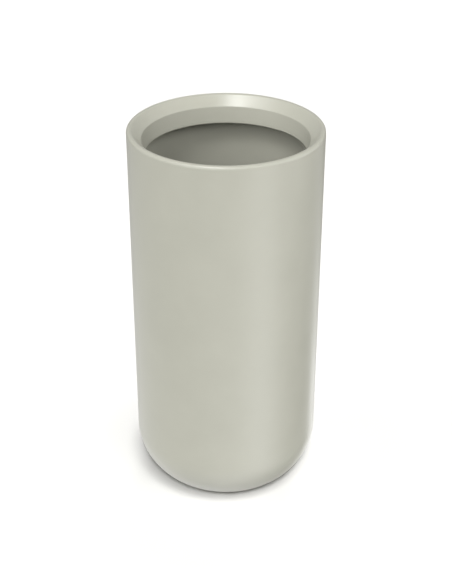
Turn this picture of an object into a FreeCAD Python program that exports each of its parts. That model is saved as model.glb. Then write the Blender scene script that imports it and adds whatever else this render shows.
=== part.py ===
import FreeCAD
import Part

import math
import os

# Tall round floor planter: a rolled wall, a spun base bowl and a spun rim, joined by lap flanges and ground
# flush outside. A steel plate in the bowl carries four levelling feet and the drain, and a lift-out shelf
# rests on four brackets inside the wall.
# Millimetres, +Z up. The origin is on the floor under the planter's axis, and the front faces -Y.

# Shell
OUTER_RADIUS = 180.0
HEIGHT = 750.0
BASE_CORNER = 114.0          # outer radius of the big curve from the wall to the base
BASE_KNUCKLE = 12.0          # outer radius where that curve meets the flat base
WALL_SHEET = 2.0
BOWL_SHEET = 2.5
LAP_LENGTH = 15.0            # flange of the bowl or the rim that reaches inside the wall
LAP_ROOT = 4.0               # height over which that flange grows out of its own shell
LAP_GAP = 0.2                # adhesive gap between the flange and the wall

# Rim
RIM_SHEET = 2.0
RIM_SKIRT = 24.0             # crest down to the joint with the wall
RIM_ROUND = 6.0              # outer radius over the crest
RIM_WIDTH = 26.7             # outer wall to the inner edge of the sloping top
RIM_DROP = 19.2              # crest down to that inner edge
RIM_NOSE = 3.5               # radius of the inner edge
LIP_DEPTH = 52.8             # crest down to the foot of the lip
LIP_LEAN = 4.6               # how far the lip leans into the mouth on its way down
LIP_CURL = 8.0               # stiffening return at the foot of the lip
LIP_CURL_ROUND = 2.8

# Base plate, its screws and their sealing washers
PLATE_THICK = 10.0
PLATE_EDGE_GAP = 5.0         # plate edge to the start of the bowl's knuckle
PLATE_SCREW_COUNT = 4
PLATE_SCREW_RADIUS = 3.0
PLATE_SCREW_HEAD = 4.0
PLATE_SCREW_FLATS = 10.0
PLATE_SCREW_SHORT = 1.0      # screw tip below the plate's upper face
WASHER_RADIUS = 8.0
WASHER_THICK = 1.5
THREAD_GAP = 0.05            # radial gap of a screw in its tapped hole
HOLE_GAP = 0.5               # radial gap of a screw or stem in its clearance hole

# Levelling feet
FOOT_ANGLES = {"front_right": 315.0, "back_right": 45.0, "back_left": 135.0, "front_left": 225.0}
FOOT_EDGE = 20.0             # foot axis in from the edge of the base plate
FOOT_TRAVEL = 15.0
FOOT_STUD_RADIUS = 6.0
FOOT_STUD_BEVEL = 1.0
FOOT_COLLAR = 4.5            # height of the hexagonal collar under the base
FOOT_COLLAR_FLATS = 19.0
FOOT_NECK_RADIUS = 2.6
FOOT_BALL_RADIUS = 4.0
FOOT_CAPTURE = 1.6           # pad above the ball's centre, which holds the ball in
FOOT_PAD_RADIUS = 17.0
FOOT_PAD_FLOOR = 1.0         # pad under the ball
FOOT_PAD_BEVEL = 2.0
FOOT_SOLE_THICK = 2.5
FOOT_SOLE_INSET = 0.6        # sole edge in from the pad's edge
BALL_GAP = 0.05
SWIVEL_GAP = 0.4             # pad to collar, so that the pad can tilt
STOP_GAP = 0.3               # collar to base with the foot screwed right in

# Drain
BUSH_BORE = 10.5
BUSH_STEM_RADIUS = 16.0
BUSH_FLANGE_RADIUS = 24.0
BUSH_FLANGE = 3.0
BUSH_PROUD = 1.0             # stem below its nut
GASKET_THICK = 2.0
DRAIN_NUT_THICK = 5.5
DRAIN_NUT_FLATS = 42.0
SEAL_THICK = 2.0
SEAL_WIDTH = 4.0
PLUG_GAP = 0.08
PLUG_THREAD = 14.0           # plug shank inside the bush
PLUG_HEAD = 3.4
PLUG_SLOT_WIDTH = 3.0
PLUG_SLOT_DEPTH = 2.0

# Lift-out shelf
SHELF_DEPTH = 320.0          # crest of the rim down to the shelf's upper face
SHELF_SHEET = 2.5
SHELF_FLANGE = 16.0
SHELF_BEND = 5.0
SHELF_LIFT_GAP = 5.0         # shelf edge to the lip, so that the shelf lifts out through the mouth
SHELF_HOLE_RADIUS = 5.0
SHELF_HOLE_PITCH = 24.0
SHELF_HOLE_MARGIN = 6.0      # least metal between a hole and the bend or a finger hole
FINGER_HOLE_RADIUS = 17.0
FINGER_HOLE_EDGE = 42.0      # finger hole centre in from the shelf's edge
FINGER_HOLE_COUNT = 2

# Shelf brackets and their pads
BRACKET_ANGLES = {"right": 0.0, "back": 90.0, "left": 180.0, "front": 270.0}
BRACKET_SHEET = 3.0
BRACKET_BEND = 5.0
BRACKET_WIDTH = 40.0
BRACKET_HEIGHT = 55.0
BRACKET_OVERLAP = 12.0       # bracket tip inside the shelf's flange
BRACKET_WALL_GAP = 0.1
GUSSET_SHORT = 8.0           # gusset end short of the bracket's ends
BRACKET_PAD_THICK = 3.0
BRACKET_PAD_INSET = 3.0      # pad edge in from the bracket's tip and sides
BRACKET_PAD_OUTSIDE = 8.0    # pad beyond the shelf's edge

# Places that follow from the sizes above
WALL_INSIDE = OUTER_RADIUS - WALL_SHEET
LAP_OUTSIDE = WALL_INSIDE - LAP_GAP
RIM_JOINT = HEIGHT - RIM_SKIRT
NOSE_RADIUS = OUTER_RADIUS - RIM_WIDTH
MOUTH_RADIUS = NOSE_RADIUS - LIP_LEAN
BALL_CENTRE = FOOT_SOLE_THICK + FOOT_PAD_FLOOR + BALL_GAP + FOOT_BALL_RADIUS
PAD_TOP = BALL_CENTRE + FOOT_CAPTURE
COLLAR_LOW = PAD_TOP + SWIVEL_GAP
COLLAR_TOP = COLLAR_LOW + FOOT_COLLAR
BASE_LOW = COLLAR_TOP + STOP_GAP
PLATE_LOW = BASE_LOW + BOWL_SHEET
PLATE_TOP = PLATE_LOW + PLATE_THICK
CORNER = (OUTER_RADIUS - BASE_CORNER, BASE_CORNER)
KNUCKLE_RISE = CORNER[1] - BASE_LOW - BASE_KNUCKLE
KNUCKLE_RUN = math.sqrt((BASE_CORNER - BASE_KNUCKLE) ** 2 - KNUCKLE_RISE ** 2)
KNUCKLE = (CORNER[0] + KNUCKLE_RUN, BASE_LOW + BASE_KNUCKLE)
PLATE_RADIUS = KNUCKLE[0] - PLATE_EDGE_GAP
PLATE_SCREW_ANGLES = [360.0 * k / PLATE_SCREW_COUNT for k in range(PLATE_SCREW_COUNT)]
FOOT_CIRCLE = PLATE_RADIUS - FOOT_EDGE         # circle of the feet and the plate screws
BUSH_SEAT = PLATE_TOP - BUSH_FLANGE
GASKET_SEAT = BUSH_SEAT - GASKET_THICK
STEM_LOW = BASE_LOW - DRAIN_NUT_THICK - BUSH_PROUD
SEAL_LOW = STEM_LOW - SEAL_THICK
PLUG_LOW = SEAL_LOW - PLUG_HEAD
PLUG_RADIUS = BUSH_BORE - PLUG_GAP
SHELF_RADIUS = MOUTH_RADIUS - SHELF_LIFT_GAP
SHELF_TOP = HEIGHT - SHELF_DEPTH
SHELF_LOW = SHELF_TOP - SHELF_FLANGE
FINGER_CIRCLE = SHELF_RADIUS - FINGER_HOLE_EDGE
FINGER_ANGLES = [360.0 * k / FINGER_HOLE_COUNT for k in range(FINGER_HOLE_COUNT)]
BRACKET_TOP = SHELF_LOW - BRACKET_PAD_THICK
BRACKET_TIP = SHELF_RADIUS - SHELF_SHEET - BRACKET_OVERLAP
BRACKET_BACK = math.sqrt(WALL_INSIDE ** 2 - (BRACKET_WIDTH / 2) ** 2) - BRACKET_WALL_GAP

ORIGIN = FreeCAD.Vector(0, 0, 0)
SIDEWAYS = FreeCAD.Vector(0, 1, 0)
UP = FreeCAD.Vector(0, 0, 1)


def spot(radius, height):
    """Point of an outline, which is drawn as radius and height in the XZ plane."""
    return FreeCAD.Vector(radius, 0, height)


def line(start, end):
    return Part.LineSegment(spot(*start), spot(*end)).toShape()


def on_circle(centre, radius, angle):
    return (centre[0] + radius * math.cos(angle), centre[1] + radius * math.sin(angle))


def arc(centre, radius, start, end):
    """Arc of an outline about a centre, between two angles in radians from the outward direction."""
    angles = (start, (start + end) / 2, end)
    return Part.Arc(*[spot(*on_circle(centre, radius, angle)) for angle in angles]).toShape()


def outline(edges):
    return Part.Face(Part.Wire(edges))


def polygon(corners):
    return outline([line(a, b) for a, b in zip(corners, corners[1:] + corners[:1])])


def turned(face):
    """Solid of an outline turned about the planter's axis."""
    solid = face.revolve(ORIGIN, UP, 360)
    if solid.Volume < 0:
        solid.reverse()
    return solid


def ring(inside, outside, low, high):
    return turned(polygon([(inside, low), (outside, low), (outside, high), (inside, high)]))


def rod(radius, low, high):
    return Part.makeCylinder(radius, high - low, UP * low)


def hexagon(flats, low, high):
    """Upright hexagonal bar on the axis, measured across its flats."""
    angles = [k * math.pi / 3 for k in range(7)]
    corners = [FreeCAD.Vector(math.cos(a), math.sin(a), 0) * (flats / math.sqrt(3)) + UP * low for a in angles]
    return Part.Face(Part.makePolygon(corners)).extrude(UP * (high - low))


def around(shape, radius, angle):
    """Copy of a shape built on the axis, moved out to a radius and round by an angle in degrees."""
    copy = shape.copy()
    copy.translate(FreeCAD.Vector(radius, 0, 0))
    copy.rotate(ORIGIN, UP, angle)
    return copy


def heading(start, end):
    return math.atan2(end[1] - start[1], end[0] - start[0])


def bent_edges(corners, bends):
    """Edges along an open row of corners that always turns left, with a bend radius at each inner corner."""
    edges = []
    here = corners[0]
    for before, corner, after, radius in zip(corners, corners[1:], corners[2:], bends):
        way = heading(before, corner)
        turn = (heading(corner, after) - way) % (2 * math.pi)
        start = on_circle(corner, -radius * math.tan(turn / 2), way)
        centre = on_circle(start, radius, way + math.pi / 2)
        edges.append(line(here, start))
        edges.append(arc(centre, radius, way - math.pi / 2, way + turn - math.pi / 2))
        here = on_circle(centre, radius, way + turn - math.pi / 2)
    edges.append(line(here, corners[-1]))
    return edges


def left_of(corners, distance):
    """The same row of corners with every side moved to the left."""
    ways = [heading(start, end) for start, end in zip(corners, corners[1:])]
    moved = []
    for corner, way_in, way_out in zip(corners, ways[:1] + ways, ways + ways[-1:]):
        half_turn = (way_out - way_in) % (2 * math.pi) / 2
        moved.append(on_circle(corner, distance / math.cos(half_turn), way_in + half_turn + math.pi / 2))
    return moved


def bent_sheet(corners, bends, sheet):
    """Section of a sheet whose outer face follows a row of corners, and whose inner face lies to the left."""
    back = left_of(corners, sheet)
    edges = bent_edges(corners, bends)
    edges.append(line(corners[-1], back[-1]))
    edges.extend(reversed(bent_edges(back, [radius - sheet for radius in bends])))
    edges.append(line(back[0], corners[0]))
    return outline(edges)


def lap_flange(joint, sheet, side):
    """Ring that steps in from a shell at its joint and reaches inside the wall, up for side 1, down for -1."""
    inside = LAP_OUTSIDE - sheet
    shell_middle = OUTER_RADIUS - sheet / 2
    end = joint + side * LAP_LENGTH
    root = joint - side * LAP_ROOT
    return turned(polygon([(inside, end), (LAP_OUTSIDE, end), (LAP_OUTSIDE, joint),
                           (shell_middle, joint), (shell_middle, root), (inside, root)]))


def make_wall():
    return ring(WALL_INSIDE, OUTER_RADIUS, BASE_CORNER, RIM_JOINT)


def make_bowl():
    """Spun bowl: flat base, knuckle and big corner, with holes for the drain, the feet and the plate screws."""
    hole = BUSH_STEM_RADIUS + HOLE_GAP
    meet = heading(CORNER, KNUCKLE)
    low = -math.pi / 2
    inner_corner = BASE_CORNER - BOWL_SHEET
    inner_knuckle = BASE_KNUCKLE - BOWL_SHEET
    shell = turned(outline([
        line((hole, BASE_LOW), (KNUCKLE[0], BASE_LOW)),
        arc(KNUCKLE, BASE_KNUCKLE, low, meet),
        arc(CORNER, BASE_CORNER, meet, 0),
        line((OUTER_RADIUS, BASE_CORNER), (OUTER_RADIUS - BOWL_SHEET, BASE_CORNER)),
        arc(CORNER, inner_corner, 0, meet),
        arc(KNUCKLE, inner_knuckle, meet, low),
        line((KNUCKLE[0], PLATE_LOW), (hole, PLATE_LOW)),
        line((hole, PLATE_LOW), (hole, BASE_LOW))]))
    holes = [around(rod(FOOT_STUD_RADIUS + HOLE_GAP, 0, PLATE_TOP), FOOT_CIRCLE, angle)
             for angle in FOOT_ANGLES.values()]
    holes += [around(rod(PLATE_SCREW_RADIUS + HOLE_GAP, 0, PLATE_TOP), FOOT_CIRCLE, angle)
              for angle in PLATE_SCREW_ANGLES]
    return shell.fuse(lap_flange(BASE_CORNER, BOWL_SHEET, 1)).removeSplitter().cut(holes)


def make_rim():
    """Spun rim: skirt, crest, sloping top, nose, hanging lip and curl, on a flange that laps inside the wall."""
    run = OUTER_RADIUS - RIM_ROUND - NOSE_RADIUS
    rise = RIM_DROP - RIM_ROUND
    slope = math.atan2(rise, run) + math.asin(RIM_ROUND / math.hypot(run, rise))
    peak = HEIGHT - RIM_DROP + RIM_WIDTH * math.tan(slope)
    lip_foot = HEIGHT - LIP_DEPTH
    section = bent_sheet([(OUTER_RADIUS, RIM_JOINT), (OUTER_RADIUS, peak), (NOSE_RADIUS, HEIGHT - RIM_DROP),
                          (MOUTH_RADIUS, lip_foot), (MOUTH_RADIUS + LIP_CURL, lip_foot)],
                         [RIM_ROUND, RIM_NOSE, LIP_CURL_ROUND], RIM_SHEET)
    return turned(section).fuse(lap_flange(RIM_JOINT, RIM_SHEET, -1)).removeSplitter()


def make_base_plate():
    """Round plate with tapped holes for the feet and its own screws, and a stepped hole for the drain bush."""
    plate = rod(PLATE_RADIUS, PLATE_LOW, PLATE_TOP)
    cuts = [rod(BUSH_STEM_RADIUS + HOLE_GAP, PLATE_LOW, PLATE_TOP),
            rod(BUSH_FLANGE_RADIUS + HOLE_GAP, GASKET_SEAT, PLATE_TOP)]
    cuts += [around(rod(FOOT_STUD_RADIUS + THREAD_GAP, PLATE_LOW, PLATE_TOP), FOOT_CIRCLE, angle)
             for angle in FOOT_ANGLES.values()]
    cuts += [around(rod(PLATE_SCREW_RADIUS + THREAD_GAP, PLATE_LOW, PLATE_TOP), FOOT_CIRCLE, angle)
             for angle in PLATE_SCREW_ANGLES]
    return plate.cut(cuts)


def make_plate_screw():
    head_top = BASE_LOW - WASHER_THICK
    head = hexagon(PLATE_SCREW_FLATS, head_top - PLATE_SCREW_HEAD, head_top)
    return head.fuse(rod(PLATE_SCREW_RADIUS, head_top, PLATE_TOP - PLATE_SCREW_SHORT)).removeSplitter()


def make_plate_washer():
    return ring(PLATE_SCREW_RADIUS + HOLE_GAP, WASHER_RADIUS, BASE_LOW - WASHER_THICK, BASE_LOW)


def make_foot_stud():
    """Threaded stud with a hexagonal collar, a neck and a ball; its thread reaches the travel above the plate."""
    top = PLATE_TOP + FOOT_TRAVEL
    bevel = FOOT_STUD_RADIUS - FOOT_STUD_BEVEL
    shank = turned(polygon([(0, COLLAR_TOP), (FOOT_STUD_RADIUS, COLLAR_TOP),
                            (FOOT_STUD_RADIUS, top - FOOT_STUD_BEVEL), (bevel, top), (0, top)]))
    collar = hexagon(FOOT_COLLAR_FLATS, COLLAR_LOW, COLLAR_TOP)
    neck = rod(FOOT_NECK_RADIUS, BALL_CENTRE, COLLAR_LOW)
    ball = Part.makeSphere(FOOT_BALL_RADIUS, UP * BALL_CENTRE)
    return shank.fuse([collar, neck, ball]).removeSplitter()


def make_foot_pad():
    bevel = FOOT_PAD_RADIUS - FOOT_PAD_BEVEL
    body = turned(polygon([(0, FOOT_SOLE_THICK), (FOOT_PAD_RADIUS, FOOT_SOLE_THICK),
                           (FOOT_PAD_RADIUS, PAD_TOP - FOOT_PAD_BEVEL), (bevel, PAD_TOP), (0, PAD_TOP)]))
    return body.cut(Part.makeSphere(FOOT_BALL_RADIUS + BALL_GAP, UP * BALL_CENTRE))


def make_foot_sole():
    return rod(FOOT_PAD_RADIUS - FOOT_SOLE_INSET, 0, FOOT_SOLE_THICK)


def make_drain_bush():
    flange = ring(BUSH_BORE, BUSH_FLANGE_RADIUS, BUSH_SEAT, PLATE_TOP)
    return flange.fuse(ring(BUSH_BORE, BUSH_STEM_RADIUS, STEM_LOW, BUSH_SEAT)).removeSplitter()


def make_drain_gasket():
    return ring(BUSH_STEM_RADIUS + HOLE_GAP, BUSH_FLANGE_RADIUS, GASKET_SEAT, BUSH_SEAT)


def make_drain_nut():
    nut = hexagon(DRAIN_NUT_FLATS, BASE_LOW - DRAIN_NUT_THICK, BASE_LOW)
    return nut.cut(rod(BUSH_STEM_RADIUS + THREAD_GAP, 0, BASE_LOW))


def make_plug_seal():
    return ring(BUSH_BORE + HOLE_GAP, BUSH_BORE + SEAL_WIDTH, SEAL_LOW, STEM_LOW)


def make_drain_plug():
    """Plug with a wide low head, a shank in the bush and a coin slot across the head."""
    head_radius = BUSH_BORE + SEAL_WIDTH
    head = rod(head_radius, PLUG_LOW, SEAL_LOW)
    shank = rod(PLUG_RADIUS, SEAL_LOW, STEM_LOW + PLUG_THREAD)
    corner = FreeCAD.Vector(-head_radius, -PLUG_SLOT_WIDTH / 2, PLUG_LOW)
    slot = Part.makeBox(2 * head_radius, PLUG_SLOT_WIDTH, PLUG_SLOT_DEPTH, corner)
    return head.fuse(shank).removeSplitter().cut(slot)


def hole_clears_fingers(radius, angle):
    """Whether a drain hole leaves enough metal round every finger hole."""
    clear = FINGER_HOLE_RADIUS + SHELF_HOLE_RADIUS + SHELF_HOLE_MARGIN
    turns = [math.radians(angle - finger_angle) for finger_angle in FINGER_ANGLES]
    return all(math.hypot(radius * math.cos(turn) - FINGER_CIRCLE, radius * math.sin(turn)) > clear
               for turn in turns)


def make_shelf():
    """Spun shelf: a flat top with rings of drain holes and two finger holes, and a flange turned down."""
    section = bent_sheet([(SHELF_RADIUS, SHELF_LOW), (SHELF_RADIUS, SHELF_TOP), (SHELF_HOLE_RADIUS, SHELF_TOP)],
                         [SHELF_BEND], SHELF_SHEET)
    hole = rod(SHELF_HOLE_RADIUS, SHELF_LOW, SHELF_TOP)
    last_radius = SHELF_RADIUS - SHELF_BEND - SHELF_HOLE_MARGIN - SHELF_HOLE_RADIUS
    finger_hole = rod(FINGER_HOLE_RADIUS, SHELF_LOW, SHELF_TOP)
    cuts = [around(finger_hole, FINGER_CIRCLE, angle) for angle in FINGER_ANGLES]
    for row in range(1, int(last_radius / SHELF_HOLE_PITCH) + 1):
        radius = row * SHELF_HOLE_PITCH
        for k in range(6 * row):
            angle = 60.0 * k / row + 30.0 / row
            if hole_clears_fingers(radius, angle):
                cuts.append(around(hole, radius, angle))
    return turned(section).cut(cuts)


def make_bracket():
    """Bent bracket: a leg welded to the wall, an arm under the shelf and a gusset between them."""
    low = BRACKET_TOP - BRACKET_HEIGHT
    across = SIDEWAYS * BRACKET_WIDTH
    section = bent_sheet([(BRACKET_BACK, low), (BRACKET_BACK, BRACKET_TOP), (BRACKET_TIP, BRACKET_TOP)],
                         [BRACKET_BEND], BRACKET_SHEET)
    strip = section.extrude(across)
    strip.translate(-across / 2)
    leg = BRACKET_BACK - BRACKET_SHEET / 2
    arm = BRACKET_TOP - BRACKET_SHEET / 2
    gusset = polygon([(leg, arm), (BRACKET_TIP + GUSSET_SHORT, arm),
                      (leg - BRACKET_SHEET, low + GUSSET_SHORT), (leg, low + GUSSET_SHORT)])
    web = gusset.extrude(SIDEWAYS * BRACKET_SHEET)
    web.translate(SIDEWAYS * (-BRACKET_SHEET / 2))
    return strip.fuse(web).removeSplitter()


def make_bracket_pad():
    inner = BRACKET_TIP + BRACKET_PAD_INSET
    outer = SHELF_RADIUS + BRACKET_PAD_OUTSIDE
    width = BRACKET_WIDTH - 2 * BRACKET_PAD_INSET
    corner = FreeCAD.Vector(inner, -width / 2, BRACKET_TOP)
    return Part.makeBox(outer - inner, width, BRACKET_PAD_THICK, corner)


nodes = {
    "wall_tube": make_wall(),
    "base_bowl": make_bowl(),
    "rim_ring": make_rim(),
    "base_plate": make_base_plate(),
    "plate_screws": Part.makeCompound([around(make_plate_screw(), FOOT_CIRCLE, a) for a in PLATE_SCREW_ANGLES]),
    "plate_washers": Part.makeCompound([around(make_plate_washer(), FOOT_CIRCLE, a) for a in PLATE_SCREW_ANGLES]),
    "drain_bush": make_drain_bush(),
    "drain_gasket": make_drain_gasket(),
    "drain_nut": make_drain_nut(),
    "plug_seal": make_plug_seal(),
    "drain_plug": make_drain_plug(),
    "shelf_plate": make_shelf(),
}
for corner_name, corner_angle in FOOT_ANGLES.items():
    nodes["foot_stud_" + corner_name] = around(make_foot_stud(), FOOT_CIRCLE, corner_angle)
    nodes["foot_pad_" + corner_name] = around(make_foot_pad(), FOOT_CIRCLE, corner_angle)
    nodes["foot_sole_" + corner_name] = around(make_foot_sole(), FOOT_CIRCLE, corner_angle)
for side_name, side_angle in BRACKET_ANGLES.items():
    nodes["shelf_bracket_" + side_name] = around(make_bracket(), 0, side_angle)
    nodes["bracket_pad_" + side_name] = around(make_bracket_pad(), 0, side_angle)

os.makedirs("parts", exist_ok=True)
for name, shape in nodes.items():
    shape.exportStep("parts/" + name + ".step")
    box = shape.BoundBox
    print(f"{name}: {len(shape.Solids)} solid(s), {shape.Volume:.0f} mm3, valid {shape.isValid()}, "
          f"X {box.XMin:.1f} {box.XMax:.1f}, Y {box.YMin:.1f} {box.YMax:.1f}, Z {box.ZMin:.2f} {box.ZMax:.2f}")
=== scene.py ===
import math

import bmesh
import bpy
import numpy as np
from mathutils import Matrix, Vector


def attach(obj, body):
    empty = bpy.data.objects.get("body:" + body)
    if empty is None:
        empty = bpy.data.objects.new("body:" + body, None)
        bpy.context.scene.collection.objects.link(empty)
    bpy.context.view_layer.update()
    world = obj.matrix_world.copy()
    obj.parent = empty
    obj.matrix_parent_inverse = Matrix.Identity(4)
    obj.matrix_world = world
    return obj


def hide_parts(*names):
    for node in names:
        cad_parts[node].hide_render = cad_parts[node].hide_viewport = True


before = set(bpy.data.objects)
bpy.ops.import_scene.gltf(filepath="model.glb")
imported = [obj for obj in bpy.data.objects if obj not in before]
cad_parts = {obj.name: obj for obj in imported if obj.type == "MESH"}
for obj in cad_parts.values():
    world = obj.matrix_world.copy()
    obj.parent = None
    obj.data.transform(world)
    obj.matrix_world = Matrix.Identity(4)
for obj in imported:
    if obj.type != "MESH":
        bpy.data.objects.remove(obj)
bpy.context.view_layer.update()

scene = bpy.context.scene


# Shell: the bowl and the rim are spun from steel sheet and the wall is rolled. They lap inside one another, are
# ground flush outside, and get one pale grey-green satin powder coat inside and out, shelf brackets and all.
COAT_LIGHT = (0.312, 0.310, 0.264, 1)
COAT_DEEP = (0.298, 0.297, 0.252, 1)
COAT_ROUGHNESS = (0.30, 0.35)
COAT_PEEL = 2.2              # millimetres between the soft bumps of the coat
COAT_PEEL_HEIGHT = 0.02      # millimetres
COAT_CLOUD = 90.0            # millimetres between its faint changes of tone
GRAIN_NOISE = {"Detail": 3.0, "Roughness": 0.55}
CLOUD_NOISE = {"Detail": 4.0, "Roughness": 0.6}
CLOUD_STRETCH = {"From Min": 0.3, "From Max": 0.7}
SHELL_NODES = ["wall_tube", "base_bowl", "rim_ring"]
BRACKET_NODES = ["shelf_bracket_right", "shelf_bracket_back", "shelf_bracket_left", "shelf_bracket_front"]
METRE = 1000.0               # millimetres: sizes here are in millimetres, and Blender's are in metres


def node(tree, kind, inputs, **settings):
    """Adds a shader node, sets its settings, and gives each named or numbered input a value or a link."""
    made = tree.nodes.new("ShaderNode" + kind)
    for name, value in settings.items():
        setattr(made, name, value)
    for key, value in inputs.items():
        if isinstance(value, bpy.types.NodeSocket):
            tree.links.new(value, made.inputs[key])
        else:
            made.inputs[key].default_value = value
    return made


def between(tree, amount, low, high):
    """A number that runs from low to high as amount goes from 0 to 1."""
    return node(tree, "MapRange", {"Value": amount, "To Min": low, "To Max": high}).outputs["Result"]


def tint(tree, amount, low, high):
    """A colour that runs from low to high as amount goes from 0 to 1. The Mix node's colours are inputs 6 and 7."""
    return node(tree, "Mix", {0: amount, 6: low, 7: high}, data_type="RGBA").outputs[2]


def grain_group():
    """Shader group for a grained surface: Height is a fine fractal noise with Grain millimetres between bumps,
    and Cloud a slow noise with Patch millimetres between patches, stretched to run from 0 to 1."""
    group = bpy.data.node_groups.new("surface_grain", "ShaderNodeTree")
    sockets = group.interface
    sockets.new_socket("Point", in_out="INPUT", socket_type="NodeSocketVector")
    sockets.new_socket("Grain", in_out="INPUT", socket_type="NodeSocketFloat")
    sockets.new_socket("Patch", in_out="INPUT", socket_type="NodeSocketFloat")
    sockets.new_socket("Height", in_out="OUTPUT", socket_type="NodeSocketFloat")
    sockets.new_socket("Cloud", in_out="OUTPUT", socket_type="NodeSocketFloat")
    given = group.nodes.new("NodeGroupInput").outputs
    fine = node(group, "Math", {0: METRE, 1: given["Grain"]}, operation="DIVIDE").outputs[0]
    slow = node(group, "Math", {0: METRE, 1: given["Patch"]}, operation="DIVIDE").outputs[0]
    height = node(group, "TexNoise", {"Vector": given["Point"], "Scale": fine} | GRAIN_NOISE)
    cloud = node(group, "TexNoise", {"Vector": given["Point"], "Scale": slow} | CLOUD_NOISE)
    spread = node(group, "MapRange", {"Value": cloud.outputs["Fac"]} | CLOUD_STRETCH)
    result = group.nodes.new("NodeGroupOutput")
    group.links.new(height.outputs["Fac"], result.inputs["Height"])
    group.links.new(spread.outputs["Result"], result.inputs["Cloud"])
    return group


grain = grain_group()


def plain(name):
    """A new material with its node tree, its shader and its Object coordinates."""
    material = bpy.data.materials.new(name)
    material.use_nodes = True
    tree = material.node_tree
    point = node(tree, "TexCoord", {}).outputs["Object"]
    return material, tree, tree.nodes["Principled BSDF"], point


def grained(name, low, high, roughness, grain_mm, patch_mm, bump_mm, metallic=0.0):
    """Material with grain: its colour and roughness drift between two values, and its grain stands bump_mm high."""
    material, tree, shader, point = plain(name)
    marks = node(tree, "Group", {"Point": point, "Grain": grain_mm, "Patch": patch_mm}, node_tree=grain)
    cloud = marks.outputs["Cloud"]
    tree.links.new(tint(tree, cloud, low, high), shader.inputs["Base Color"])
    tree.links.new(between(tree, cloud, *roughness), shader.inputs["Roughness"])
    bump = node(tree, "Bump", {"Strength": 1.0, "Distance": bump_mm / METRE, "Height": marks.outputs["Height"]})
    tree.links.new(bump.outputs["Normal"], shader.inputs["Normal"])
    shader.inputs["Metallic"].default_value = metallic
    return material


def coat(names, material):
    """Gives carried-over nodes a finish in every material slot that they have."""
    for name in names:
        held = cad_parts[name].data.materials
        for index in range(len(held)):
            held[index] = material


powder_coat = grained("powder_coat", COAT_DEEP, COAT_LIGHT, COAT_ROUGHNESS, COAT_PEEL, COAT_CLOUD, COAT_PEEL_HEIGHT)
coat(SHELL_NODES + BRACKET_NODES, powder_coat)


# Seams of the shell: a weld runs down the inside of the rolled wall, each bracket leg has a fillet weld down both
# its sides, and a bead of sealant closes the inner end of each lap. All of it lies under the powder coat.
WALL_INSIDE = 178.0
SEAM_TURN = 292.0            # degrees round to the wall's weld, on the near side
SEAM_ENDS = (129.5, 710.5)
SEAM_WIDTH = 5.0
SEAM_HEIGHT = 0.7
SEAM_DIP = 0.35              # share of its size that the bead loses between two ripples
BRACKET_TURNS = (0.0, 90.0, 180.0, 270.0)
LEG_BACK = 176.77
LEG_HALF = 20.0
LEG_ENDS = (359.0, 405.0)
FILLET_HALF = 2.108          # half the width of a fillet's bead
FILLET_IN = 0.6              # middle of the bead from the leg's back
FILLET_OUT = 0.5             # middle of the bead from the leg's side
FILLET_DIP = 0.12
RIPPLE = 2.4                 # millimetres between the ripples of a weld
RIPPLE_BOW = 0.7             # how far the middle of a ripple runs ahead of its sides, in ripples
RIPPLE_ROWS = 8
WELD_SIDES = 20
LAP_BEADS = {"rim_lap_bead": (711.0, -1), "bowl_lap_bead": (129.0, 1)}     # end of the lap, way that it faces
LAP_BEAD_SIZE = 2.0
LAP_BEAD_FLAT = 0.75         # thickness of the bead for its height
LAP_BEAD_IN = 0.9            # middle of the bead from the wall
LAP_BEAD_PAST = 0.4          # middle of the bead past the end of the lap
LAP_BEAD_SWELLS = ((0.06, 17, 0), (0.04, 41, 1))     # share of the size, number round the bead, start
LAP_BEAD_ROWS = 240
LAP_BEAD_SIDES = 14
BEAD_CREASE = 60
CREASE = 32                  # degrees: a sharper edge looks sharp
JOIN_DISTANCE = 2e-6         # metres: closer points become one


def rings(points, loop=False):
    """Faces of rows of points: each row is a closed ring, and each face joins two neighbours of one ring to those
    of the next. With loop the last ring joins the first."""
    rows, columns = points.shape[:2]
    row = np.arange(rows if loop else rows - 1)[:, None] * columns
    next_row = (row + columns) % (rows * columns)
    column = np.arange(columns)[None]
    next_column = (column + 1) % columns
    return np.stack([row + column, row + next_column, next_row + next_column, next_row + column], -1).reshape(-1, 4)


def piece(name, shells, material, slot, body, *nodes, loop=False, crease=CREASE):
    """One object from shells of rings in millimetres. Points that fall together are merged, so that poles close,
    faces are turned outwards, and edges sharper than crease degrees stay sharp."""
    mesh = bpy.data.meshes.new(name)
    starts = np.cumsum([0] + [shell.shape[0] * shell.shape[1] for shell in shells])
    points = np.concatenate([shell.reshape(-1, 3) for shell in shells]) / METRE
    faces = np.concatenate([rings(shell, loop) + start for shell, start in zip(shells, starts)])
    mesh.from_pydata(points.tolist(), [], faces.tolist())
    work = bmesh.new()
    work.from_mesh(mesh)
    bmesh.ops.remove_doubles(work, verts=work.verts, dist=JOIN_DISTANCE)
    bmesh.ops.recalc_face_normals(work, faces=work.faces)
    work.to_mesh(mesh)
    work.free()
    mesh.shade_smooth()
    mesh.set_sharp_from_angle(angle=math.radians(crease))
    mesh.materials.append(material)
    made = bpy.data.objects.new(name, mesh)
    scene.collection.objects.link(made)
    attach(made, body)
    if nodes:
        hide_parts(*nodes)


def circle(count):
    """Angles of count points spaced evenly round a full turn, as one row."""
    return np.linspace(0, 2 * np.pi, count, endpoint=False)[None]


def turned(radius, height, turn):
    """Rings about the z axis: row i and column j lie at radius[i, j], at height[i, j] and at the angle turn[j]."""
    radius, height, turn = np.broadcast_arrays(radius, height, turn)
    return np.stack([radius * np.cos(turn), radius * np.sin(turn), height], -1)


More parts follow.
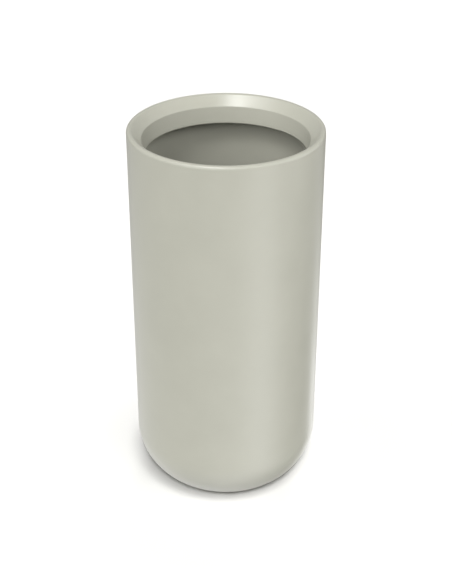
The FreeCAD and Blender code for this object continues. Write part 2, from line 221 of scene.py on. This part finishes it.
def placed(points, radius, degrees):
    """Points moved out to a radius along x, then round the z axis."""
    angle = math.radians(degrees)
    x, y = points[..., 0] + radius, points[..., 1]
    return np.stack([x * math.cos(angle) - y * math.sin(angle), x * math.sin(angle) + y * math.cos(angle),
                     points[..., 2]], -1)


def upright_bead(low, high, deep, wide, dip):
    """Weld bead up the z axis: an ellipse deep by wide whose size falls by a share dip between bowed ripples, as
    the pool of the weld froze, and runs out at both ends."""
    length = high - low
    step = np.linspace(0, 1, RIPPLE_ROWS * int(length / RIPPLE))[:, None]
    around = circle(WELD_SIDES)
    wave = np.abs(np.sin(np.pi * (step * length / RIPPLE + RIPPLE_BOW * np.cos(around) ** 2)))
    size = (1 - dip * (1 - wave)) * np.sqrt(np.clip(np.minimum(step, 1 - step) * length / wide, 0, 1))
    return np.stack([deep * size * np.cos(around), wide * size * np.sin(around),
                     low + length * step + 0 * around], -1)


seam = placed(upright_bead(*SEAM_ENDS, SEAM_HEIGHT, SEAM_WIDTH / 2, SEAM_DIP), WALL_INSIDE, SEAM_TURN)
piece("wall_weld", [seam], powder_coat, "shell_paint", "planter", crease=BEAD_CREASE)

fillets = []
for degrees in BRACKET_TURNS:
    for side in (-1, 1):
        bead = upright_bead(*LEG_ENDS, FILLET_HALF, FILLET_HALF, FILLET_DIP)
        bead = bead + np.array([LEG_BACK - FILLET_IN, side * (LEG_HALF + FILLET_OUT), 0])
        fillets.append(placed(bead, 0, degrees))
piece("bracket_welds", fillets, powder_coat, "shell_paint", "planter", crease=BEAD_CREASE)

around = circle(LAP_BEAD_ROWS).T
section = circle(LAP_BEAD_SIDES)
size = LAP_BEAD_SIZE * (1 + sum(share * np.sin(count * around + start) for share, count, start in LAP_BEAD_SWELLS))
out = WALL_INSIDE - LAP_BEAD_IN + LAP_BEAD_FLAT * size * np.cos(section)
for name, (end, way) in LAP_BEADS.items():
    bead = turned(out, end + way * LAP_BEAD_PAST + size * np.sin(section), around)
    piece(name, [bead], powder_coat, "shell_paint", "planter", loop=True, crease=BEAD_CREASE)


# Base plate: a ten millimetre steel disc, laser cut and hot-dip galvanised, that weights the planter and is
# tapped for the feet. Zinc crystals give it a spangle of patches that catch the light differently.
SPANGLE = 9.0                # millimetres across one crystal
SPANGLE_BENDS = {"Scale": 160.0, "Detail": 2.0}
SPANGLE_SHIFT = (0.006, 0.006, 0.006)     # metres by which the crystals' edges wander
ZINC_LIGHT = (0.66, 0.68, 0.70, 1)
ZINC_DARK = (0.40, 0.42, 0.44, 1)
ZINC_ROUGHNESS = (0.32, 0.6)
FROST_NOISE = {"Scale": 900.0, "Detail": 4.0}
FROST_BUMP = {"Strength": 0.5, "Distance": 0.00005}

galvanised, tree, shader, point = plain("galvanised_plate")
bends = node(tree, "TexNoise", {"Vector": point} | SPANGLE_BENDS).outputs["Color"]
bends = node(tree, "VectorMath", {0: bends, 1: SPANGLE_SHIFT}, operation="MULTIPLY").outputs[0]
bent = node(tree, "VectorMath", {0: point, 1: bends}, operation="ADD").outputs[0]
crystal = node(tree, "TexVoronoi", {"Vector": bent, "Scale": METRE / SPANGLE})
share = node(tree, "SeparateColor", {0: crystal.outputs["Color"]})
tree.links.new(tint(tree, share.outputs[0], ZINC_DARK, ZINC_LIGHT), shader.inputs["Base Color"])
tree.links.new(between(tree, share.outputs[1], *ZINC_ROUGHNESS), shader.inputs["Roughness"])
frost = node(tree, "TexNoise", {"Vector": point} | FROST_NOISE).outputs["Fac"]
frost = node(tree, "Bump", {"Height": frost} | FROST_BUMP).outputs["Normal"]
tree.links.new(frost, shader.inputs["Normal"])
shader.inputs["Metallic"].default_value = 1.0
coat(["base_plate"], galvanised)


# Plate screws: four zinc-plated hexagon screws from below, M6, with chamfered heads and rolled threads, each on
# a sealing washer of rubber that bulges a little under the head.
SCREW_CIRCLE = 93.17
SCREW_TURNS = (0.0, 90.0, 180.0, 270.0)
SCREW_FLATS = 10.0
SCREW_HEAD = (8.85, 12.85)
SCREW_TIP = 25.85
SCREW_RADIUS = 3.0
SCREW_PITCH = 1.0
SCREW_BEVEL = 0.7
SCREW_SIDES = 48
THREAD_DEPTH = 0.6           # of the pitch
THREAD_FLAT = 0.1            # share of the depth that is cut off at the crest and at the root
THREAD_ROWS = 10             # for each pitch
CHAMFER_EDGE = 0.475         # radius at which a hexagon's chamfer starts, of its width across flats
CHAMFER_SLOPE = 1.73         # run of the 30 degree chamfer for its rise
CHAMFER_BAND = (0.07, 0.48)  # height of the band that holds it: of the width, and at most of the hexagon's height
CHAMFER_ROWS = 8
CHAMFER_CROWD = 1.5          # power that brings those rows closer together towards the end
WASHER = (3.5, 8.0, 12.85, 14.35)     # inner radius, outer radius, underside, upper side
WASHER_BULGE = (0.3, 0.55)   # powers that make a circle into the washer's squarish section
WASHER_ROWS = 28
WASHER_SIDES = 40

bright_zinc = grained("bright_zinc", low=(0.60, 0.61, 0.63, 1), high=(0.74, 0.75, 0.76, 1), roughness=(0.22, 0.36),
                      grain_mm=0.8, patch_mm=14.0, bump_mm=0.012, metallic=1.0)
seal_rubber = grained("seal_rubber", low=(0.016, 0.016, 0.017, 1), high=(0.030, 0.030, 0.031, 1),
                      roughness=(0.55, 0.72), grain_mm=0.5, patch_mm=6.0, bump_mm=0.02)


def hexagon(turn, flats):
    """Distance from the middle of a hexagon to its edge, which lies flats / 2 away at the middle of each side."""
    sector = np.pi / 3
    return flats / 2 / np.cos((turn % sector) - sector / 2)


def thread(turn, height, radius, pitch):
    """Radius of a V thread: it falls by its depth and rises again once in each pitch of the helix, with narrow
    flats at the crest and the root."""
    phase = (height / pitch - turn / (2 * np.pi)) % 1
    fall = (1 + 2 * THREAD_FLAT) * (1 - np.abs(2 * phase - 1)) - THREAD_FLAT
    return radius - THREAD_DEPTH * pitch * np.clip(fall, 0, 1)


def hex_head(turn, low, high, flats, chamfer_high=True):
    """Rows of radius and height of a hexagon with its corners turned off in a 30 degree cone at its lower end, and
    at its upper end too unless that is left out."""
    edge = CHAMFER_EDGE * flats
    band = min(CHAMFER_BAND[0] * flats, CHAMFER_BAND[1] * (high - low))
    level = np.linspace(0, 1, CHAMFER_ROWS) ** CHAMFER_CROWD * band
    rise = np.concatenate([level, (high - low) - level[::-1]])[:, None]
    radius = np.minimum(hexagon(turn, flats), edge + rise * CHAMFER_SLOPE)
    if chamfer_high:
        radius = np.minimum(radius, edge + (high - low - rise) * CHAMFER_SLOPE)
    return radius, low + rise + 0 * turn


def threaded(turn, low, high, radius, pitch, bevel):
    """Rows of radius and height of a threaded shank that is bevelled at its upper end."""
    height = np.linspace(low, high, int((high - low) / pitch * THREAD_ROWS))[:, None] + 0 * turn
    return np.minimum(thread(turn, height, radius, pitch), radius - bevel + (high - height)), height


def level_rows(turn, radius, height):
    """Rows of radius and height that stay the same all the way round, from one radius and one height a row."""
    radius, height = np.broadcast_arrays(radius, height)
    return np.reshape(radius, (-1, 1)) + 0 * turn, np.reshape(height, (-1, 1)) + 0 * turn


def pole(turn, height):
    """One row on the axis, which closes a turned shape."""
    return level_rows(turn, 0.0, height)


def stacked(turn, *rows):
    """Rings of a turned shape from pairs of radius rows and height rows, listed from one end to the other."""
    return turned(np.concatenate([radius for radius, height in rows]),
                  np.concatenate([height for radius, height in rows]), turn)


def bulged(angle, power):
    """A wave like a cosine that stays near its ends for longer as the power falls below 1."""
    return np.sign(np.cos(angle)) * np.abs(np.cos(angle)) ** power


turn = circle(SCREW_SIDES)
screw = stacked(turn, pole(turn, SCREW_HEAD[0]), hex_head(turn, *SCREW_HEAD, SCREW_FLATS, chamfer_high=False),
                threaded(turn, SCREW_HEAD[1], SCREW_TIP, SCREW_RADIUS, SCREW_PITCH, SCREW_BEVEL),
                pole(turn, SCREW_TIP))
piece("plate_hex_screws", [placed(screw, SCREW_CIRCLE, degrees) for degrees in SCREW_TURNS], bright_zinc,
      "fastener_zinc", "planter", "plate_screws")

inner, outer, low, high = WASHER
section = circle(WASHER_ROWS).T
washer = turned((inner + outer) / 2 + (outer - inner) / 2 * bulged(section, WASHER_BULGE[0]),
                (low + high) / 2 + (high - low) / 2 * bulged(section - np.pi / 2, WASHER_BULGE[1]),
                circle(WASHER_SIDES))
piece("sealing_washers", [placed(washer, SCREW_CIRCLE, degrees) for degrees in SCREW_TURNS], seal_rubber,
      "seal_rubber", "planter", "plate_washers", loop=True)


# Levelling feet: an M12 zinc-plated stud with a hexagonal collar and a ball end screws up through the plate. The
# ball snaps into a moulded nylon pad with finger flutes, and a ribbed rubber sole is bonded under the pad.
FOOT_CIRCLE = 93.17
FOOT_TURNS = {"front_right": 315.0, "back_right": 45.0, "back_left": 135.0, "front_left": 225.0}
STUD_RADIUS = 6.0
STUD_PITCH = 1.75
STUD_TOP = 41.85
STUD_BEVEL = 1.0
STUD_SIDES = 48
COLLAR = (9.55, 14.05)
COLLAR_FLATS = 19.0
NECK_RADIUS = 2.6
NECK_START = 0.6             # of the way up the ball to where it is as narrow as the neck
BALL_RADIUS = 4.0
BALL_HEIGHT = 7.55
BALL_ROWS = 18
SOCKET_RADIUS = 4.05
SOCKET_ROWS = 14
PAD_RADIUS = 17.0
PAD_LEVELS = (2.5, 9.15)
PAD_ROUND = 2.0
PAD_ROUND_ROWS = 7
PAD_SIDE_ROWS = 6
PAD_INNER_ROW = 8.0
PAD_RECESS_RADII = (12.0, 11.6, 11.2, 6.2, 5.8)
PAD_RECESS_DROPS = (0.0, 0.0, 0.5, 0.5, 0.0)
FLUTES = 18
FLUTE_SIDES = 8
FLUTE_DEEP = 1.1
FLUTE_START = 0.6            # height of the plain band below the flutes
FLUTE_RUN_OUT = 0.8          # height over which they reach their full depth
SOLE_RADIUS = 16.4
SOLE_BEVELS = (0.4, 0.2)     # at the lower edge and at the upper edge
SOLE_TREAD = 0.8
SOLE_SIDES = 60
RIB_COUNT = 5
RIB_SPACING = 3.0
GROOVE_HALVES = (0.75, 0.55)          # half the width of a groove at its mouth and at its floor

foot_nylon = grained("foot_nylon", low=(0.022, 0.022, 0.023, 1), high=(0.034, 0.034, 0.035, 1),
                     roughness=(0.36, 0.46), grain_mm=0.35, patch_mm=9.0, bump_mm=0.012)
sole_rubber = grained("sole_rubber", low=(0.040, 0.040, 0.041, 1), high=(0.062, 0.062, 0.061, 1),
                      roughness=(0.66, 0.82), grain_mm=0.5, patch_mm=7.0, bump_mm=0.03)

turn = circle(STUD_SIDES)
lift = np.linspace(-np.pi / 2, math.acos(NECK_RADIUS / BALL_RADIUS) * NECK_START, BALL_ROWS)[1:]
stud = stacked(turn, pole(turn, BALL_HEIGHT - BALL_RADIUS),
               level_rows(turn, BALL_RADIUS * np.cos(lift), BALL_HEIGHT + BALL_RADIUS * np.sin(lift)),
               hex_head(turn, *COLLAR, COLLAR_FLATS),
               threaded(turn, COLLAR[1], STUD_TOP, STUD_RADIUS, STUD_PITCH, STUD_BEVEL),
               pole(turn, STUD_TOP))

turn = circle(FLUTE_SIDES * FLUTES)
low, high = PAD_LEVELS
flute = FLUTE_DEEP * (0.5 - 0.5 * np.cos(FLUTES * turn))
rise = np.linspace(low, high - PAD_ROUND, PAD_SIDE_ROWS)[:, None]
fade = np.clip((rise - low - FLUTE_START) / FLUTE_RUN_OUT, 0, 1)
bend = np.linspace(0, np.pi / 2, PAD_ROUND_ROWS)[:, None]
shoulder = (PAD_RADIUS - PAD_ROUND + (PAD_ROUND - flute) * np.cos(bend),
            high - PAD_ROUND + PAD_ROUND * np.sin(bend) + 0 * turn)
mouth_lift = math.asin((high - BALL_HEIGHT) / SOCKET_RADIUS)
dip = np.linspace(mouth_lift, -np.pi / 2, SOCKET_ROWS)[:-1]
pad = stacked(turn, pole(turn, low), level_rows(turn, PAD_INNER_ROW, low),
              (PAD_RADIUS - flute * fade, rise + 0 * turn), shoulder,
              level_rows(turn, PAD_RECESS_RADII, high - np.array(PAD_RECESS_DROPS)),
              level_rows(turn, SOCKET_RADIUS * np.cos(dip), BALL_HEIGHT + SOCKET_RADIUS * np.sin(dip)),
              pole(turn, BALL_HEIGHT - SOCKET_RADIUS))

turn = circle(SOLE_SIDES)
mouth, root = GROOVE_HALVES
middles = RIB_SPACING * np.arange(1, RIB_COUNT + 1)
grooves = (middles[:, None] + np.array([-mouth, -root, root, mouth])).ravel()
groove_rise = SOLE_TREAD * np.tile([0.0, 1.0, 1.0, 0.0], RIB_COUNT)
lower, upper = SOLE_BEVELS
edge = level_rows(turn, [SOLE_RADIUS - lower, SOLE_RADIUS, SOLE_RADIUS, SOLE_RADIUS - upper],
                  [0.0, lower, low - upper, low])
sole = stacked(turn, pole(turn, 0.0), level_rows(turn, grooves, groove_rise), edge, pole(turn, low))

for corner, degrees in FOOT_TURNS.items():
    piece("foot_stud_threaded_" + corner, [placed(stud, FOOT_CIRCLE, degrees)], bright_zinc, "fastener_zinc",
          corner + "_foot_stud", "foot_stud_" + corner)
    piece("foot_pad_fluted_" + corner, [placed(pad, FOOT_CIRCLE, degrees)], foot_nylon, "foot_nylon",
          corner + "_foot_pad", "foot_pad_" + corner)
    piece("foot_sole_ribbed_" + corner, [placed(sole, FOOT_CIRCLE, degrees)], sole_rubber, "sole_rubber",
          corner + "_foot_pad", "foot_sole_" + corner)


# Drain: a moulded bush stands in the middle of the plate on a rubber gasket, and a wide hexagonal nut draws it
# down from below. A slotted plug with a coarse thread closes it against a flat rubber seal.
DRAIN_NUT = (8.85, 14.35)
DRAIN_NUT_FLATS = 42.0
DRAIN_NUT_SIDES = 96
DRAIN_NUT_BORE = 16.05
DRAIN_NUT_BEVEL = 0.65
PLUG_RADIUS = 10.42
PLUG_PITCH = 1.814
PLUG_BEVEL = 1.2
PLUG_SIDES = 64
PLUG_LEVELS = (2.45, 5.85, 21.85)     # underside of the head, its upper side, tip of the shank
PLUG_HEAD_RADIUS = 14.5
PLUG_EDGE = 0.8
PLUG_ROOT = 0.5                       # depth of the shank's end inside the head
PLUG_SLOT = (3.0, 2.0)                # width and depth
PLUG_SLICES = 26                      # on each side of the slot
PLUG_LAST_SLICE = 0.11                # angle from the middle of the head to the slice beside the slot, in radians

drain_plastic = grained("drain_plastic", low=(0.050, 0.052, 0.053, 1), high=(0.068, 0.070, 0.070, 1),
                        roughness=(0.40, 0.52), grain_mm=0.45, patch_mm=12.0, bump_mm=0.015)
coat(["drain_bush"], drain_plastic)
coat(["drain_gasket", "plug_seal"], seal_rubber)

turn = circle(DRAIN_NUT_SIDES)
low, high = DRAIN_NUT
wide = DRAIN_NUT_BORE + DRAIN_NUT_BEVEL
bore = level_rows(turn, [wide, DRAIN_NUT_BORE, DRAIN_NUT_BORE, wide],
                  [high, high - DRAIN_NUT_BEVEL, low + DRAIN_NUT_BEVEL, low])
piece("drain_hex_nut", [stacked(turn, hex_head(turn, low, high, DRAIN_NUT_FLATS), bore)], drain_plastic,
      "drain_plastic", "planter", "drain_nut", loop=True)


def chord(radius, away):
    """Half the length of a circle's chord that lies some way from its middle, as a column."""
    return np.sqrt(np.maximum(radius ** 2 - away ** 2, 0))[:, None]


low, high, tip = PLUG_LEVELS
slot_wide, slot_deep = PLUG_SLOT
beside = np.sin(np.linspace(-np.pi / 2, -PLUG_LAST_SLICE, PLUG_SLICES)) * PLUG_HEAD_RADIUS
brink = slot_wide / 2
slices = np.r_[beside, -brink, -brink, 0, brink, brink, -beside[::-1]]
uncut = np.zeros(PLUG_SLICES + 1)
sunk = np.r_[uncut, slot_deep, slot_deep, slot_deep, uncut][:, None]
half = chord(PLUG_HEAD_RADIUS, slices)
lower_half = chord(PLUG_HEAD_RADIUS - PLUG_EDGE, slices)
across = np.concatenate([-half, -half, -lower_half, -lower_half / 3, lower_half / 3, lower_half, half, half], 1)
rise = np.array([high, low + PLUG_EDGE, low, low, low, low, low + PLUG_EDGE, high])
head = np.stack([across, slices[:, None] + 0 * across, np.clip(rise, low + sunk, high) + 0 * across], -1)

turn = circle(PLUG_SIDES)
root = high - PLUG_ROOT
shank = stacked(turn, pole(turn, root), threaded(turn, root, tip, PLUG_RADIUS, PLUG_PITCH, PLUG_BEVEL),
                pole(turn, tip))
piece("drain_slotted_plug", [head, shank], drain_plastic, "drain_plastic", "drain_plug", "drain_plug")


# Shelf: spun from aluminium sheet with a turned-down edge, punched with drain holes, and left bare. The spinning
# tool leaves fine rings about the middle, and the sheet dulls a little in patches.
RING_SPACING = 0.55          # millimetres
RING_DETAIL = 3.0
RING_BUMP = {"Strength": 0.6, "Distance": 0.00004}
DULL_PATCH = 45.0            # millimetres
ALUMINIUM_LIGHT = (0.80, 0.81, 0.82, 1)
ALUMINIUM_DULL = (0.66, 0.67, 0.68, 1)
ALUMINIUM_ROUGHNESS = (0.24, 0.50)

spun_aluminium, tree, shader, point = plain("spun_aluminium")
flat = node(tree, "VectorMath", {0: point, 1: (1, 1, 0)}, operation="MULTIPLY").outputs[0]
reach = node(tree, "VectorMath", {0: flat}, operation="LENGTH").outputs["Value"]
tool = node(tree, "TexNoise", {"W": reach, "Scale": METRE / RING_SPACING, "Detail": RING_DETAIL},
            noise_dimensions="1D").outputs["Fac"]
dull = node(tree, "Group", {"Point": point, "Patch": DULL_PATCH}, node_tree=grain).outputs["Cloud"]
tone = node(tree, "Math", {0: dull, 1: tool}, operation="MULTIPLY").outputs[0]
tree.links.new(tint(tree, tone, ALUMINIUM_LIGHT, ALUMINIUM_DULL), shader.inputs["Base Color"])
tree.links.new(between(tree, tool, *ALUMINIUM_ROUGHNESS), shader.inputs["Roughness"])
lines = node(tree, "Bump", {"Height": tool} | RING_BUMP).outputs["Normal"]
tree.links.new(lines, shader.inputs["Normal"])
shader.inputs["Metallic"].default_value = 1.0
coat(["shelf_plate"], spun_aluminium)


# Bracket pads: cut from soft black rubber sheet and glued to the bracket arms, so that the shelf neither rattles
# nor scratches the coat.
PAD_NODES = ["bracket_pad_right", "bracket_pad_back", "bracket_pad_left", "bracket_pad_front"]

pad_rubber = grained("pad_rubber", low=(0.024, 0.024, 0.025, 1), high=(0.040, 0.040, 0.041, 1),
                     roughness=(0.62, 0.80), grain_mm=0.6, patch_mm=8.0, bump_mm=0.03)
coat(PAD_NODES, pad_rubber)


# Studio: a plain pale floor inside a round pale backdrop, soft lamps round the planter, and a glow from below, which
# the satin coat mirrors as it would a white floor. The floor has lamps of its own that keep it white: they are
# blocked by the bowl alone, which leaves a short shadow at the planter's foot.
STAGE_RADIUS = 20.0
STAGE_ROUGHNESS = 0.9
FLOOR_TONE = (0.4, 0.398, 0.388, 1)
BACKDROP_HEIGHT = 26.0
BACKDROP_SIDES = 64
BACKDROP_TONE = (0, 0, 0, 1)
BACKDROP_GLOW = 0.45
WHITE = (1, 1, 1, 1)
PLANTER_LAMPS = {            # degrees round from the front to the right, degrees up, degrees across, strength
    "key_left": (-54, 53, 35, 1.35),
    "key_front": (-20, 59, 15, 1.85),
    "fill_front": (-5, 34, 40, 1.65),
    "fill_right": (55, 37, 35, 0.7),
    "fill_left": (-50, 12, 40, 1.2),
    "side_left": (-100, 12, 40, 0.75),
    "side_right": (90, 12, 60, 2.7),
}
FLOOR_LAMPS = {
    "floor_low": (0, 45, 8, 3.9),
    "floor_front": (10, 58, 19, 4.1),
    "floor_right": (44, 42, 25, 1.4),
    "floor_left": (-76, 19, 33, 1.9),
    "floor_back": (163, 31, 21, 1.4),
}
GLOW = {                     # degrees round, degrees up, degrees of spread, strength
    "low_front": (0, -64, 32, 1.9),
    "low_right": (45, -35, 20, 2.7),
    "low_side_right": (130, -13, 9, 1.5),
    "low_back_right": (148, -38, 10, 2.9),
    "low_back": (180, -70, 18, 0.8),
    "low_back_left": (210, -38, 20, 0.9),
    "low_left": (245, -48, 24, 1.1),
}


def staged(name, points, faces, tone, glow, mirrored):
    """A surface of the studio, which the camera sees but which sends no diffuse light to the planter. Only a
    mirrored one shows in the planter's gloss."""
    mesh = bpy.data.meshes.new(name)
    mesh.from_pydata(points, [], faces)
    matt = bpy.data.materials.new(name)
    matt.use_nodes = True
    shader = matt.node_tree.nodes["Principled BSDF"]
    shader.inputs["Base Color"].default_value = tone
    shader.inputs["Emission Color"].default_value = WHITE
    shader.inputs["Emission Strength"].default_value = glow
    shader.inputs["Roughness"].default_value = STAGE_ROUGHNESS
    shader.inputs["Specular IOR Level"].default_value = 0.0
    mesh.materials.append(matt)
    made = bpy.data.objects.new(name, mesh)
    made.visible_diffuse = False
    made.visible_glossy = mirrored
    made.visible_shadow = False
    scene.collection.objects.link(made)
    return made


half = STAGE_RADIUS
floor = staged("floor", [(-half, -half, 0), (half, -half, 0), (half, half, 0), (-half, half, 0)], [(0, 1, 2, 3)],
               FLOOR_TONE, glow=0.0, mirrored=False)

foot = turned(STAGE_RADIUS, 0.0, circle(BACKDROP_SIDES))[0]
corners = [(k, (k + 1) % BACKDROP_SIDES) for k in range(BACKDROP_SIDES)]
staged("backdrop", np.r_[foot, foot + (0, 0, BACKDROP_HEIGHT)],
       [(after, k, k + BACKDROP_SIDES, after + BACKDROP_SIDES) for k, after in corners],
       BACKDROP_TONE, BACKDROP_GLOW, mirrored=True)


def toward(around, up):
    """Direction from the planter to a light that stands some degrees round from the front and some degrees up."""
    around, up = math.radians(around), math.radians(up)
    return Vector((math.sin(around) * math.cos(up), -math.cos(around) * math.cos(up), math.sin(up)))


def linked(name, thing, state):
    """Collection that a lamp's links read: the one thing alone, or everything else."""
    links = bpy.data.collections.new(name)
    links.objects.link(thing)
    links.collection_objects[0].light_linking.link_state = state
    return links


all_but_floor = linked("all_but_floor", floor, "EXCLUDE")
only_floor = linked("only_floor", floor, "INCLUDE")
only_bowl = linked("only_bowl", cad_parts["base_bowl"], "INCLUDE")
for lamp_name, (around, up, across, strength) in (PLANTER_LAMPS | FLOOR_LAMPS).items():
    lamp = bpy.data.objects.new(lamp_name, bpy.data.lights.new(lamp_name, "SUN"))
    lamp.data.angle = math.radians(across)
    lamp.data.energy = strength
    lamp.rotation_euler = toward(around, up).to_track_quat("Z", "Y").to_euler()
    lamp.light_linking.receiver_collection = only_floor if lamp_name in FLOOR_LAMPS else all_but_floor
    lamp.light_linking.blocker_collection = only_bowl if lamp_name in FLOOR_LAMPS else None
    scene.collection.objects.link(lamp)

world = bpy.data.worlds.new("studio")
world.use_nodes = True
scene.world = world
tree = world.node_tree
way = node(tree, "TexCoord", {}).outputs["Generated"]
light = 0.0
for around, up, spread, strength in GLOW.values():
    sharp = 1 / (1 - math.cos(math.radians(spread)))
    near = node(tree, "VectorMath", {0: way, 1: toward(around, up)}, operation="DOT_PRODUCT").outputs["Value"]
    fall = node(tree, "Math", {0: near, 1: sharp, 2: -sharp}, operation="MULTIPLY_ADD").outputs[0]
    fall = node(tree, "Math", {0: fall}, operation="EXPONENT").outputs[0]
    light = node(tree, "Math", {0: fall, 1: strength, 2: light}, operation="MULTIPLY_ADD").outputs[0]
background = tree.nodes["Background"]
background.inputs["Color"].default_value = WHITE
tree.links.new(light, background.inputs["Strength"])
scene.view_settings.view_transform = "Standard"


# Camera: at standing eye height in front of the planter, looking down at it through a short telephoto lens, as
# fitted to the planter's outline, rim and base in the photograph.
CAMERA_PLACE = (0, -1.98792, 1.54368)
CAMERA_TILT = 0.5191         # radians down from level
CAMERA_LENS = 72.63
CAMERA_SENSOR = 36.0

camera_data = bpy.data.cameras.new("camera")
camera_data.sensor_width = CAMERA_SENSOR
camera_data.lens = CAMERA_LENS
camera = bpy.data.objects.new("camera", camera_data)
camera.location = CAMERA_PLACE
camera.rotation_euler = (math.pi / 2 - CAMERA_TILT, 0, 0)
scene.collection.objects.link(camera)
scene.camera = camera
